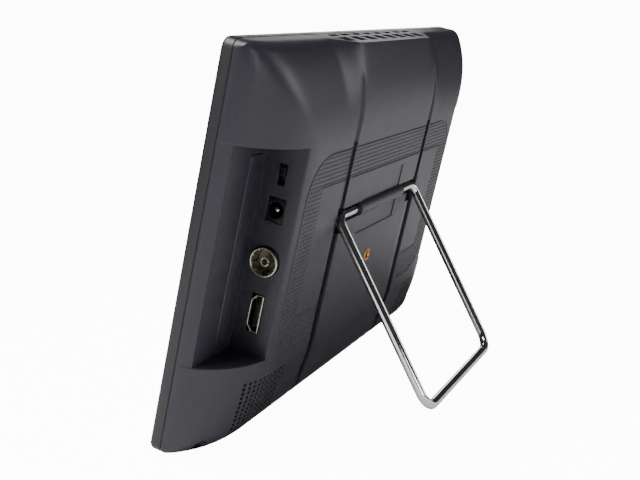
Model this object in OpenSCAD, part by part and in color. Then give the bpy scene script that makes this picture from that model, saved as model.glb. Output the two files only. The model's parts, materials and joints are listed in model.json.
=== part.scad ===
// Portable digital picture frame and television with a folding wire stand.
// Every part is drawn in the case's own frame: x across the screen, y from the screen's
// front face to the back, z up the screen. place() then leans the whole device back.

/* [Case] */
// Width of the case across the screen
case_w = 229; // [225:1:233]
// Height of the case up the screen
case_h = 150; // [149:1:152]
// Depth from the front face to the flat back
case_t = 26.8; // [26.4:0.1:27.6]
// Lean of the case on its stand, in degrees from upright
tilt = 16.3; // [12:0.1:20]
// Corner radius of the case seen from the front
corner_r = 3; // [3:0.5:5]
// Wall thickness of the rear cover
wall = 2; // [1.8:0.1:2.2]
// Depth of the front bezel's side band
bezel_t = 4.6; // [4.2:0.1:5]

/* [Screen] */
// Width of the bezel's window
window_w = 199; // [190:1:202]
// Height of the bezel's window
window_h = 113; // [106:1:114]
// Height of the window's centre above the case's bottom edge
window_v = 79; // [77:1:80]

/* [Side bays] */
// Distance from the middle of the case to a bay's connector wall
bay_u = 86; // [85.5:0.1:86.5]
// Lower end of each bay
bay_low = 36.3; // [35:0.1:38]
// Upper end of each bay
bay_high = 116.3; // [115:0.1:118]
// Depth of the bay's floor from the front face
bay_floor = 10.4; // [10:0.1:11]
// Depth of the connectors' middle line from the front face
port_w = 17.8; // [17.4:0.1:18.2]

/* [Stand] */
// Diameter of the stand wire
wire_d = 3.9; // [3.6:0.1:4.0]
// Height of the pivot up the back
pivot_v = 83.8; // [82:0.1:85.6]
// Depth of the pivot from the front face
pivot_w = 25.6; // [25.5:0.1:25.8]
// Half the distance between the stand's legs
leg_u = 43.8; // [43.6:0.1:44.2]
// Length of each leg from the pivot to the foot bar
leg_len = 82.2; // [81:0.1:83.5]

/* [Back] */
// Width of the channels that the folded legs lie in
channel_w = 5.4; // [5.2:0.1:5.8]
// Spacing of the ribs in the textured ring
rib_pitch = 1.5; // [1.4:0.05:1.7]
// Columns of holes in each speaker grille
grille_cols = 11; // [8:1:11]
// Rows of holes in each speaker grille
grille_rows = 12; // [8:1:12]
// Number of cooling slots along the top
vent_count = 8; // [4:1:9]

/* [Hidden] */
$fn = 64;

// Rear cover's outer form
cheek_r = 36;
cheek_u = 82;
crown_r = 59;
crown_v = case_h - 30;

// Small lean of each curve where it leaves the flat back, and the middles of those curves.
curve_lean = 1.5;
cheek_mid_u = cheek_u - cheek_r * sin(curve_lean);
cheek_mid_w = case_t - cheek_r * cos(curve_lean);
crown_mid_v = crown_v - crown_r * sin(curve_lean);
crown_mid_w = case_t - crown_r * cos(curve_lean);
shoulder_r = 15;
toe_r = 13;
toe_w = 11.2;
belly_v = 32;
corner_cut_s = 36;
corner_cut_r = 38;
shoulder_v = case_h - shoulder_r;
shoulder_w = crown_mid_w + sqrt(pow(crown_r - shoulder_r, 2) - pow(shoulder_v - crown_mid_v, 2));
shoulder_join_v = crown_mid_v + crown_r * (shoulder_v - crown_mid_v) / (crown_r - shoulder_r);

// Stance: the case's curved toe and the stand's foot bar both touch the floor
wire_r = wire_d / 2;
floor_z = toe_r * cos(tilt) - toe_w * sin(tilt) - toe_r;
pivot_z = pivot_v * cos(tilt) - pivot_w * sin(tilt);
pivot_y = pivot_v * sin(tilt) + pivot_w * cos(tilt);
lean_out = acos((pivot_z - floor_z - wire_r) / leg_len);
stand_open = tilt + lean_out;
foot_y = pivot_y + leg_len * sin(lean_out) + wire_r;

// Inside layout, measured from the front face
bezel_plate = 2;
glass_w = 2.5;
guide_w = 4.1;
tray_w = 6;
tray_back = 7.4;
board_w = 12.9;
board_t = 1.6;
board_top = board_w + board_t;
module_w = 210.7;
module_h = 126.5;
pivot_bend = 4.6;
foot_bend = 7;
stub_end = 13.5;
hinge_half = 25;
hinge_r = 3.1;
channel_u = leg_u + 0.4;
channel_floor = pivot_w - wire_r - 0.45;
upper_channel_floor = case_t - 1.3;
board_posts = [[65, 42], [73, 110]];
insert_v = 58.7;
insert_r = 2.9;
case_screw_u = 105.5;
case_screw_v = 4.5;
ring_u = 81;
ring_in_u = 68.5;
ring_low = 35.6;
ring_high = 112;
ring_band = 12.1;
ring_r = 14;
ring_depth = 0.45;
groove_w = 0.7;
grille_u = 68;
grille_v = 8;
grille_du = 2.7;
grille_dv = 1.85;
grille_hole_r = 0.6;
key_low_v = 88.5;
key_pitch = 5.6;
key_travel = 0.5;
speaker_u = 82;
speaker_v = 19;
speaker_r = 12.5;
speaker_front = 18.6;
slack = 0.3;
big = 400;

// Leans a part drawn in the case's frame back onto the floor, centred over its footprint.
module place() {
    translate([0, -foot_y / 2, -floor_z]) rotate([-tilt, 0, 0]) children();
}

// A block given by its lowest corner and highest corner in the case's frame.
module block(low, high) {
    translate(low) cube(high - low);
}

// A cylinder that runs from the front towards the back.
module post(u, v, w_low, w_high, r) {
    translate([u, w_high, v]) rotate([90, 0, 0]) cylinder(r = r, h = w_high - w_low);
}

// A tube that runs from the front towards the back.
module tube_post(u, v, w_low, w_high, r, hole) {
    difference() {
        post(u, v, w_low, w_high, r);
        post(u, v, w_low - 1, w_high + 1, hole);
    }
}

// A cylinder that runs across the case.
module cross(u_low, u_high, v, w, r) {
    translate([u_low, w, v]) rotate([0, 90, 0]) cylinder(r = r, h = u_high - u_low);
}

// Extrudes an outline drawn across and up the screen, from one depth to another.
module layer(w_low, w_high) {
    translate([0, w_high, 0]) rotate([90, 0, 0]) linear_extrude(w_high - w_low) children();
}

// Extrudes an outline drawn in depth and height, across the case.
module slice(u_low, u_high) {
    translate([u_low, 0, 0]) rotate([90, 0, 90]) linear_extrude(u_high - u_low) children();
}

module both_sides() {
    children();
    mirror([1, 0, 0]) children();
}

module round_rect(w, h, r) {
    square([w - 2 * r, h], center = true);
    square([w, h - 2 * r], center = true);
    for (sx = [-1, 1], sy = [-1, 1])
        translate([sx * (w / 2 - r), sy * (h / 2 - r)]) circle(r);
}

// Front view outline of the case.
module outline() {
    translate([0, case_h / 2]) round_rect(case_w, case_h, corner_r);
}

// Straight-sided outline that lies inside the case's outline by the inset.
module inner_outline(inset) {
    translate([-case_w / 2 + inset, inset]) square([case_w - 2 * inset, case_h - 2 * inset]);
}

// What the two lower corners lose: everything outside a round that runs across each corner.
module corner_loss(inset) {
    reach = 60;
    both_sides() translate([case_w / 2, 0, 0]) rotate([0, 45, 0])
        difference() {
            block([-corner_cut_s, case_t - corner_cut_r, -reach], [reach, case_t + 1, reach]);
            translate([-corner_cut_s, case_t - corner_cut_r, -reach])
                cylinder(r = corner_cut_r - inset, h = 2 * reach, $fn = 128);
        }
}

// Plan section of the cover: a flat back whose cheeks curve to the sides.
module plan_section(inset) {
    intersection() {
        translate([-case_w / 2 + inset, 0]) square([case_w - 2 * inset, case_t - inset]);
        union() {
            translate([-cheek_mid_u, 0]) square([2 * cheek_mid_u, case_t]);
            for (s = [-1, 1]) translate([s * cheek_mid_u, cheek_mid_w]) circle(cheek_r - inset);
        }
    }
}

// Side section of the cover away from its middle: rounded toe, flat back, curved crown and shoulder.
module side_section(inset) {
    depth = case_t - inset;
    top = case_h - inset;
    translate([0, belly_v]) square([depth, crown_mid_v + 0.5 - belly_v]);
    polygon([[0, toe_r], [depth - 2.6, toe_r], [depth, belly_v], [0, belly_v]]);
    translate([0, inset]) square([toe_w, toe_r]);
    intersection() {
        translate([0, inset]) square([depth, belly_v]);
        translate([toe_w, toe_r]) circle(toe_r - inset);
    }
    intersection() {
        translate([0, crown_mid_v]) square([depth, shoulder_join_v - crown_mid_v]);
        translate([crown_mid_w, crown_mid_v]) circle(crown_r - inset, $fn = 200);
    }
    translate([0, crown_mid_v]) square([shoulder_w, top - crown_mid_v]);
    intersection() {
        translate([0, shoulder_v]) square([depth, top - shoulder_v]);
        translate([shoulder_w, shoulder_v]) circle(shoulder_r - inset);
    }
}

// Side section of the raised middle, whose crown runs on to a flat top.
module hump_section(inset) {
    intersection() {
        translate([0, crown_mid_v]) square([case_t - inset, case_h - inset - crown_mid_v]);
        translate([crown_mid_w, crown_mid_v]) circle(crown_r - inset, $fn = 200);
    }
}

// Plan section of the raised middle, with sloping flanks.
module hump_plan(inset) {
    polygon([
        [-54 + inset, 0], [54 - inset, 0], [54 - inset, 5], [42 - inset, 19],
        [42 - inset, case_t], [-42 + inset, case_t], [-42 + inset, 19], [-54 + inset, 5]
    ]);
}

// The cover's whole form, drawn in by the inset, as one solid.
module pillow(inset) {
    difference() {
        full_pillow(inset);
        corner_loss(inset);
    }
}

module full_pillow(inset) {
    intersection() {
        layer(0, case_t) {
            if (inset > 0.1) inner_outline(inset);
            else outline();
        }
        linear_extrude(case_h) plan_section(inset);
        union() {
            slice(-case_w / 2, case_w / 2) side_section(inset);
            intersection() {
                slice(-case_w / 2, case_w / 2) hump_section(inset);
                linear_extrude(case_h) hump_plan(inset);
            }
        }
    }
}

// The ring's ribs as one flat pattern of grooves.
module ring_grooves() {
    ring_v = (ring_low + ring_high) / 2;
    ring_h = ring_high - ring_low;
    rows = floor(ring_h / rib_pitch);
    intersection() {
        translate([0, ring_v]) difference() {
            round_rect(2 * ring_u, ring_h, ring_r);
            square([2 * ring_in_u, ring_h - 2 * ring_band], center = true);
            translate([0, -ring_h / 2]) square([2 * channel_u - channel_w, 2 * ring_band], center = true);
        }
        for (i = [0 : rows])
            translate([-ring_u, ring_low + i * rib_pitch]) square([2 * ring_u, groove_w]);
    }
}

// One side's pocket for the connectors, cut from the cheek.
module bay_cut() {
    block([bay_u, bay_floor, bay_low], [big / 2, big / 2, bay_high]);
}

// Walls behind one side's pocket.
module bay_walls() {
    skin = 1.8;
    intersection() {
        pillow(0.01);
        block([bay_u - skin, bay_floor - skin, bay_low - skin],
              [case_w / 2, case_t, bay_high + skin]);
    }
}

// Solid pieces inside the cover: channel backing, hinge block, insert boss and screw posts.
module cover_inside() {
    intersection() {
        pillow(0.01);
        union() {
            both_sides() {
                block([channel_u - 4.6, channel_floor - 1.6, 0], [channel_u + 4.6, case_t, pivot_v + 7.2]);
                block([hinge_half, channel_floor - 1.6, pivot_v - 8.9], [channel_u, case_t, pivot_v + 4.6]);
                post(case_screw_u, case_screw_v, bezel_t + 1.6, case_t, 4.2);
                for (p = board_posts) post(p[0], p[1], board_top, case_t, 3);
            }
            block([-hinge_half - 1, 20.5, pivot_v - 4.5], [hinge_half + 1, case_t, pivot_v + 4.5]);
            post(0, insert_v, 18.5, case_t, 5);
        }
    }
}

// Everything cut out of the back for the stand.
module stand_cuts() {
    half = channel_w / 2;
    both_sides() {
        block([channel_u - half, channel_floor, -1], [channel_u + half, big / 2, pivot_v + 3.4]);
        block([channel_u - half + 0.6, upper_channel_floor, pivot_v - 3.8],
              [channel_u + half - 0.6, big / 2, case_h]);
        block([hinge_half, channel_floor, pivot_v - 3], [channel_u, big / 2, pivot_v + 3]);
        block([leg_u - pivot_bend - 2.6, channel_floor, pivot_v - 7.3], [channel_u, big / 2, pivot_v + 3]);
        cross(stub_end - 1, hinge_half + 2, pivot_v, pivot_w, wire_r + 0.05);
    }
    difference() {
        block([-21.5, case_t - 0.8, pivot_v - 11.3], [21.5, big / 2, pivot_v + 12.7]);
        block([-hinge_half, 0, pivot_v - hinge_r], [hinge_half, big, pivot_v + hinge_r]);
    }
}

// Windows in the bay walls that the connectors, the switch and the keys show through.
module port_cuts() {
    // Right-hand bay: switch slot, power jack, aerial socket, HDMI socket
    block([bay_u - 4, 16.2, 100.7], [bay_u + 4, 19.2, 108.3]);
    block([bay_u - 4, 14.4, 86.9], [bay_u + 4, 21.2, 96.1]);
    cross(bay_u - 4, bay_u + 4, 72.1, port_w, 5.7);
    block([bay_u - 4, 15.3, 44.6], [bay_u + 4, 20.6, 59.5]);
    // Left-hand bay: card slot, USB socket, headphone jack, keys
    block([-bay_u - 4, 16.3, 41.2], [-bay_u + 4, 19.1, 54.4]);
    block([-bay_u - 4, 14.3, 57.2], [-bay_u + 4, 21.7, 70.8]);
    cross(-bay_u - 4, -bay_u + 4, 77.6, port_w, 3.1);
    for (i = [0 : 4]) {
        v = key_low_v + i * key_pitch;
        block([-bay_u - 4, port_w - 2.8, v - 2.3], [-bay_u + 4, port_w + 2.8, v + 2.3]);
    }
}

// The grid of sound holes in one lower corner.
module grille_cuts() {
    for (i = [0 : grille_cols - 1], j = [0 : grille_rows - 1])
        post(grille_u + i * grille_du, grille_v + j * grille_dv, 17, case_t + 1, grille_hole_r, $fn = 16);
}

module vent_cuts() {
    span = 92.8;
    rib = 3.4;
    pitch = span / vent_count;
    for (i = [0 : vent_count - 1], w = [[6, 8.4], [10.2, 15.8]])
        block([-span / 2 + i * pitch + rib / 2, w[0], case_h - 6],
              [-span / 2 + (i + 1) * pitch - rib / 2, w[1], case_h + 1]);
}

module rear_cover() {
    color("#4b4950") place() union() {
        difference() {
            union() {
                difference() {
                    pillow(0);
                    pillow(wall);
                    block([-big / 2, -1, -1], [big / 2, bezel_t, case_h + 1]);
                }
                both_sides() bay_walls();
                cover_inside();
                cross(-hinge_half, hinge_half, pivot_v, pivot_w, hinge_r);
            }
            both_sides() bay_cut();
            stand_cuts();
            port_cuts();
            vent_cuts();
            layer(case_t - ring_depth, case_t + 1) ring_grooves();
            both_sides() grille_cuts();
            post(0, insert_v, 19.6, case_t + 1, insert_r);
            both_sides() {
                post(case_screw_u, case_screw_v, 9, case_t, 2.4);
                post(case_screw_u, case_screw_v, bezel_t, case_t, 1.4);
                for (p = board_posts) post(p[0], p[1], board_w, 21, 1.05);
            }
            block([-big / 2, -1, -1], [big / 2, bezel_t, case_h + 1]);
        }
        both_sides() block([90, bay_floor - 0.3, 41], [98.5, bay_floor + 0.5, 111]);
    }
}

module front_bezel() {
    lens_v = 10;
    color("#3e3d40") place() union() {
        difference() {
            layer(0, bezel_t - 0.15) outline();
            layer(bezel_plate, bezel_t + 1) inner_outline(1.9);
            translate([0, bezel_t, window_v]) rotate([90, 0, 0])
                linear_extrude(big, center = true) round_rect(window_w, window_h, 1);
            post(0, lens_v, -1, bezel_t, 3);
            post(14, lens_v, -1, bezel_t, 1.2);
        }
        difference() {
            both_sides() {
                post(case_screw_u, case_screw_v, bezel_plate, bezel_t + 1.4, 2.6);
                post(case_screw_u - 1, case_h - 5, bezel_plate, bezel_t + 1.4, 2.2);
            }
            both_sides() post(case_screw_u, case_screw_v, bezel_plate + 0.4, big, 1.05);
        }
        for (u = [-70, 0, 70])
            block([u - 5, bezel_plate - 0.5, case_h - 3.5], [u + 5, bezel_t + 3, case_h - 2.3]);
    }
}

// One leg's bend: a quarter turn that starts along +x and ends along -z.
module bend(r) {
    rotate([90, 0, 0]) rotate_extrude(angle = 90) translate([r, 0]) circle(wire_r);
}

module wire_stand() {
    color("#d8dade") place()
        translate([0, pivot_w, pivot_v]) rotate([stand_open, 0, 0]) {
            both_sides() {
                cross(stub_end, leg_u - pivot_bend, 0, 0, wire_r);
                translate([leg_u - pivot_bend, 0, -pivot_bend]) bend(pivot_bend);
                translate([leg_u, 0, -leg_len + foot_bend])
                    cylinder(r = wire_r, h = leg_len - foot_bend - pivot_bend);
                translate([leg_u - foot_bend, 0, -leg_len + foot_bend])
                    mirror([0, 0, 1]) bend(foot_bend);
            }
            cross(-leg_u + foot_bend, leg_u - foot_bend, -leg_len, 0, wire_r);
        }
}

// A flat rectangular layer of the display stack.
module screen_layer(w, h, w_low, w_high) {
    block([-w / 2, w_low, window_v - h / 2], [w / 2, w_high, window_v + h / 2]);
}

module display_glass() {
    color("#15161a") place() screen_layer(204, 118, glass_w, guide_w);
}

module light_guide() {
    color("#e8ecee") place() screen_layer(202, 116, guide_w + 0.1, tray_w - 0.1);
}

module backlight_tray() {
    color("#b9bcc0") place() difference() {
        screen_layer(module_w, module_h, glass_w, tray_back);
        screen_layer(205, 119, glass_w - 1, tray_w);
    }
}

module screen_gasket() {
    color("#222222") place() difference() {
        screen_layer(208, 122, bezel_plate + 0.05, glass_w - 0.05);
        screen_layer(202, 116, 0, big);
    }
}

module panel_bracket(side) {
    strip_u = 98;
    color("#a7abb0") place() scale_side(side) difference() {
        union() {
            block([strip_u - 4, tray_back + 0.05, 22], [strip_u + 4, tray_back + 0.75, 136]);
            for (v = [24, 134])
                block([strip_u - 4, tray_back + 0.05, v - 4], [strip_u + 11, tray_back + 0.75, v + 4]);
        }
        for (v = [24, 134]) post(strip_u + 8.8, v, 0, big / 10, 1.3);
    }
}

// Draws a part on the +x side, or mirrored onto the -x side.
module scale_side(side) {
    mirror([side < 0 ? 1 : 0, 0, 0]) children();
}

module panel_bracket_left() { panel_bracket(-1); }
module panel_bracket_right() { panel_bracket(1); }

// A pan head screw whose head faces the front or the back.
module screw(u, v, w_head, length, head_r, shank_r, faces_back) {
    way = faces_back ? 1 : -1;
    post(u, v, min(w_head, w_head + way * 1.4), max(w_head, w_head + way * 1.4), head_r);
    post(u, v, min(w_head, w_head - way * length), max(w_head, w_head - way * length), shank_r);
}

module bracket_screws() {
    color("#c9ccd0") place() both_sides()
        for (v = [24, 134]) screw(106.8, v, tray_back + 0.8, 3, 2.1, 1.1, true);
}

module main_board() {
    color("#1f5a37") place() difference() {
        block([-83, board_w, 38], [83, board_top, 114]);
        block([79.65, 0, 65], [90, big / 10, 79.5]);
        for (s = [-1, 1], p = board_posts) post(s * p[0], p[1], 0, big / 10, 1.5);
    }
}

module board_screws() {
    color("#c9ccd0") place() both_sides()
        for (p = board_posts) screw(p[0], p[1], board_w - 0.05, 7, 2.2, 1, false);
}

module tuner_can() {
    color("#c2c5c9") place() difference() {
        block([54, board_top, 61], [79.6, 22.6, 84]);
        block([54.5, board_top - 1, 61.5], [79.1, 22.1, 83.5]);
    }
}

module processor() {
    color("#26272a") place() block([-16, board_top, 92], [2, board_top + 1.4, 110]);
}

module heat_spreader() {
    color("#9ea2a8") place() union() {
        block([-18, board_top + 1.45, 90], [4, board_top + 2.45, 112]);
        for (i = [0 : 6])
            block([-17 + i * 3.2, board_top + 2.4, 90], [-16 + i * 3.2, board_top + 6, 112]);
    }
}

module capacitors() {
    color("#3b3f6b") place() for (p = [[58, 92], [67, 92], [20, 98], [29, 98]])
        post(p[0], p[1], board_top, board_top + 6.2, 3.1);
}

module inductors() {
    color("#34353a") place() for (p = [[54, 104], [66, 104]])
        block([p[0] - 4, board_top, p[1] - 4], [p[0] + 4, board_top + 3.6, p[1] + 4]);
}

module display_ribbon() {
    color("#c98f3a") place() union() {
        block([-60, tray_back + 0.1, 33.2], [-44, tray_back + 0.35, 50]);
        block([-60, tray_back + 0.1, 33.2], [-44, board_w - 0.4, 33.45]);
        block([-60, board_w - 0.65, 33.2], [-44, board_w - 0.4, 44]);
        block([-61, board_w - 1.2, 41], [-43, board_w - 0.05, 46]);
    }
}

module battery_pack() {
    color("#2f5c94") place()
        layer(9, 19) translate([0, 20]) round_rect(112, 25, 2);
}

module battery_connector() {
    color("#efefe8") place() block([20, board_top, 40], [28, board_top + 4.5, 44.5]);
}

module aerial_shell() {
    color("#c9c3a4") place() difference() {
        union() {
            cross(79.7, 81.2, 72.1, port_w, 6.5);
            cross(81, bay_u + 1.8, 72.1, port_w, 5.45);
        }
        cross(79, 90, 72.1, port_w, 4.8);
    }
}

module aerial_insulator() {
    color("#e6e2d2") place() difference() {
        cross(79.8, 81.4, 72.1, port_w, 4.75);
        cross(79, 90, 72.1, port_w, 1.8);
    }
}

module aerial_contact() {
    color("#c9c3a4") place() difference() {
        cross(79.8, bay_u + 0.8, 72.1, port_w, 1.75);
        cross(80.6, 90, 72.1, port_w, 1.2);
        block([82, port_w - 0.15, 60], [90, port_w + 0.15, 80]);
    }
}

// Face outline of the HDMI socket, in depth and height, drawn in by the inset.
module hdmi_face(inset) {
    a = 15.5 + inset;
    b = 20.4 - inset;
    low = 44.8 + inset;
    high = 59.3 - inset;
    polygon([
        [b, low], [b, high], [a + 2.2, high], [a + 1.6, high - 1.4], [a, high - 2.8],
        [a, low + 2.8], [a + 1.6, low + 1.4], [a + 2.2, low]
    ]);
}

module hdmi_shell() {
    color("#b9b7ad") place() difference() {
        slice(75.5, bay_u + 0.1) hdmi_face(0);
        slice(76.2, bay_u + 1) hdmi_face(0.4);
    }
}

module hdmi_tongue() {
    color("#1a1a1c") place() union() {
        block([76.3, 17.6, 46.6], [84.6, 18.8, 57.5]);
        block([76.3, 16.2, 48.2], [77.2, 19.9, 55.9]);
    }
}

module dc_jack_body() {
    color("#161618") place() difference() {
        block([73, board_top, 87.1], [bay_u, 21.1, 95.9]);
        cross(75, bay_u + 1, 91.5, port_w, 2.9);
    }
}

module dc_jack_pin() {
    color("#d5d6d8") place() union() {
        cross(75.05, bay_u - 1.4, 91.5, port_w, 1);
        translate([bay_u - 1.4, port_w, 91.5]) sphere(1);
    }
}

module power_switch_body() {
    color("#2a2a2d") place() difference() {
        block([77, board_top, 98.5], [bay_u - 1.9, 21, 110.5]);
        block([80.4, port_w - 1.6, 100.2], [bay_u, port_w + 1.6, 108.8]);
    }
}

module power_switch_knob() {
    color("#141416") place() union() {
        block([80.8, port_w - 1.2, 104.2], [bay_u + 0.9, port_w + 1.2, 108]);
        for (i = [0 : 2])
            block([bay_u + 0.8, port_w - 1.2, 104.4 + i * 1.3], [bay_u + 1.4, port_w + 1.2, 105.2 + i * 1.3]);
    }
}

module usb_shell() {
    color("#c2c5c9") place() difference() {
        block([-bay_u - 0.2, 14.55, 57.4], [-72, 21.45, 70.6]);
        block([-bay_u - 1, 14.95, 57.8], [-72.5, 21.05, 70.2]);
    }
}

module usb_tongue() {
    color("#202124") place() block([-bay_u + 1.6, 18.4, 58.8], [-72.6, 20.2, 69.2]);
}

module headphone_jack() {
    color("#1b1b1d") place() difference() {
        union() {
            block([-83.9, board_top, 74.4], [-71.5, 21, 80.8]);
            cross(-bay_u - 0.3, -83.5, 77.6, port_w, 2.95);
        }
        cross(-bay_u - 1, -72.5, 77.6, port_w, 1.8);
    }
}

module card_socket() {
    color("#aeb1b6") place() difference() {
        block([-84, board_top, 40.8], [-69, 19.4, 54.8]);
        block([-90, 16.7, 42.2], [-70, 18.6, 53.4]);
    }
}

module key_board() {
    color("#1f5a37") place() block([-78.6, board_top + 0.05, 85], [-77, 21.4, 113.6]);
}

module key_switches() {
    color("#3a3a3d") place() for (i = [0 : 4]) {
        v = key_low_v + i * key_pitch;
        block([-80.6, port_w - 2, v - 2], [-78.65, port_w + 2, v + 2]);
        cross(-81.2, -80.5, v, port_w, 1);
    }
}

// One key: a cap that shows in the bay, a flange behind the wall and a stem to its switch.
module key(index) {
    v = key_low_v + (index - 1) * key_pitch;
    color("#2c2b30") place() union() {
        block([-bay_u - 1, port_w - 2.4, v - 1.9], [-83.6, port_w + 2.4, v + 1.9]);
        block([-83.7, port_w - 2.6, v - 2.5], [-82.9, port_w + 2.6, v + 2.5]);
        cross(-83, -81.9, v, port_w, 1.2);
    }
}

module key_1() { key(1); }
module key_2() { key(2); }
module key_3() { key(3); }
module key_4() { key(4); }
module key_5() { key(5); }

module speaker_basket(side) {
    color("#3b3c40") place() scale_side(side) difference() {
        union() {
            post(speaker_u, speaker_v, speaker_front - 1, speaker_front, speaker_r);
            post(speaker_u, speaker_v, speaker_front - 4.4, speaker_front - 0.9, speaker_r - 2);
        }
        post(speaker_u, speaker_v, speaker_front - 3.6, speaker_front + 1, speaker_r - 2.8);
        post(speaker_u, speaker_v, 0, speaker_front, 4);
    }
}

module speaker_cone(side) {
    color("#1d1d1f") place() scale_side(side)
        translate([speaker_u, speaker_front, speaker_v]) rotate([90, 0, 0]) rotate_extrude()
            polygon([[0, 1.6], [3, 1.6], [9.3, 0.2], [9.3, 0.7], [3.2, 2.2], [0, 2.2]]);
}

module speaker_magnet(side) {
    color("#8d9095") place() scale_side(side)
        post(speaker_u, speaker_v, speaker_front - 9, speaker_front - 4.5, 7);
}

module speaker_gasket(side) {
    color("#202020") place() scale_side(side)
        tube_post(speaker_u, speaker_v, speaker_front + 0.02, speaker_front + 1.2, speaker_r - 0.3, speaker_r - 2.4);
}

module speaker_basket_left() { speaker_basket(-1); }
module speaker_cone_left() { speaker_cone(-1); }
module speaker_magnet_left() { speaker_magnet(-1); }
module speaker_gasket_left() { speaker_gasket(-1); }
module speaker_basket_right() { speaker_basket(1); }
module speaker_cone_right() { speaker_cone(1); }
module speaker_magnet_right() { speaker_magnet(1); }
module speaker_gasket_right() { speaker_gasket(1); }

module infrared_receiver() {
    color("#1a1a1c") place() union() {
        block([-3, bezel_plate + 0.05, 7], [3, 4.4, 13]);
    }
}

module infrared_lens() {
    color("#2a0f14") place() post(0, 10, 0.3, 1.5, 2.95);
}

module status_light() {
    color("#d6efe0") place() post(14, 10, 1.7, 4.3, 1.1);
}

module status_lens() {
    color("#f0f0f0") place() post(14, 10, 0.2, 1.6, 1.15);
}

module threaded_insert() {
    color("#c9963b") place() tube_post(0, insert_v, 20.2, 26.4, insert_r - 0.02, 1.65);
}

module hinge_clamp() {
    color("#a7abb0") place() difference() {
        block([-22, 19.4, pivot_v - 4.2], [22, 20.4, pivot_v + 4.2]);
        for (s = [-1, 1]) post(s * 6, pivot_v, 0, big / 10, 1.3);
    }
}

module hinge_screws() {
    color("#c9ccd0") place() for (s = [-1, 1]) screw(s * 6, pivot_v, 19.35, 1, 2.1, 1.1, false);
}

module case_screws() {
    color("#26262a") place() both_sides() screw(case_screw_u, case_screw_v, 9.05, 6, 2.1, 1, true);
}

front_bezel();
rear_cover();
wire_stand();
display_glass();
light_guide();
backlight_tray();
screen_gasket();
panel_bracket_left();
panel_bracket_right();
bracket_screws();
main_board();
board_screws();
tuner_can();
processor();
heat_spreader();
capacitors();
inductors();
display_ribbon();
battery_pack();
battery_connector();
aerial_shell();
aerial_insulator();
aerial_contact();
hdmi_shell();
hdmi_tongue();
dc_jack_body();
dc_jack_pin();
power_switch_body();
power_switch_knob();
usb_shell();
usb_tongue();
headphone_jack();
card_socket();
key_board();
key_switches();
key_1();
key_2();
key_3();
key_4();
key_5();
speaker_basket_left();
speaker_cone_left();
speaker_magnet_left();
speaker_gasket_left();
speaker_basket_right();
speaker_cone_right();
speaker_magnet_right();
speaker_gasket_right();
infrared_receiver();
infrared_lens();
status_light();
status_lens();
threaded_insert();
hinge_clamp();
hinge_screws();
case_screws();
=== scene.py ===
"""Portable digital television seen from behind, standing on its folded-out wire stand."""

import json
import math

import bmesh
import bpy
from mathutils import Matrix, Vector


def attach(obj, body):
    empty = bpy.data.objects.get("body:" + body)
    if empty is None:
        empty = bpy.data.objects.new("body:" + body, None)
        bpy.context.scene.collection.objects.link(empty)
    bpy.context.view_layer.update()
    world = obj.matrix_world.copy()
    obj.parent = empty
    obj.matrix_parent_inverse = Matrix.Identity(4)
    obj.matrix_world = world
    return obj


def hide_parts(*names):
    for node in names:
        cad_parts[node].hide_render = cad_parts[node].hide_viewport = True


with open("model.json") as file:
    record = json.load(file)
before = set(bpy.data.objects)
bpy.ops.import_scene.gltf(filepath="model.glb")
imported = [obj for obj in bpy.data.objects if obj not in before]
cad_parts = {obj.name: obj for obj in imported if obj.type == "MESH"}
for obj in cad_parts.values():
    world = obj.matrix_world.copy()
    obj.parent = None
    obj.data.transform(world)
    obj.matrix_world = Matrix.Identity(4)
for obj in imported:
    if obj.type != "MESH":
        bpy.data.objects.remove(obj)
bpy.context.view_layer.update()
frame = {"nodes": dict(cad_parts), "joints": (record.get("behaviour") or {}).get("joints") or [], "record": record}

MM = 0.001
RECORD = frame["record"]
JOINTS = {joint["name"]: joint for joint in frame["joints"]}
MOUNTS = {mount["name"]: mount for mount in RECORD["mounts"]}

# ---- Case frame in millimetres: u across, w from the screen to the back, v up the screen ----
PIVOT_W = 25.6
PIVOT_V = 83.8
BACKWARD = Vector(MOUNTS["back_thread"]["axis"])
UPWARD = Vector(JOINTS["power_slide"]["axis"])
CORNER = Vector(JOINTS["stand_fold"]["pos_m"]) - MM * (PIVOT_W * BACKWARD + PIVOT_V * UPWARD)
CASE = Matrix.Translation(CORNER) @ Matrix(
    ((1, BACKWARD.x, UPWARD.x), (0, BACKWARD.y, UPWARD.y), (0, BACKWARD.z, UPWARD.z))
).to_4x4() @ Matrix.Scale(MM, 4)

# ---- Case sizes ----
HALF_U = 114.5
HEIGHT = 150.0
DEPTH = 26.6
BEZEL_W = 4.6
WALL = 2.0
OUTLINE_R = 4.0
CHEEK_U = 78.6
CHEEK_R = 48.0
EDGE_R = 4.0
TOE_R = 14.6
TOE_W = 9.4
TOE_DROP = DEPTH - TOE_W - TOE_R
BELLY_V = 32.0
BELLY_POWER = 1.5
LEAST_RISE = 0.6
CASE_CHAMFER = 0.35
CROWN_V = 114.0
CROWN_R = 53.3
SHOULDER_R = 7.0
CORNER_POWER_LOW = 1.75
CORNER_POWER_HIGH = 3.2
HUMP_V = 121.0
HUMP_R = 59.0
HUMP_TOP_U = 39.0
HUMP_FOOT_U = 58.0

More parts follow.
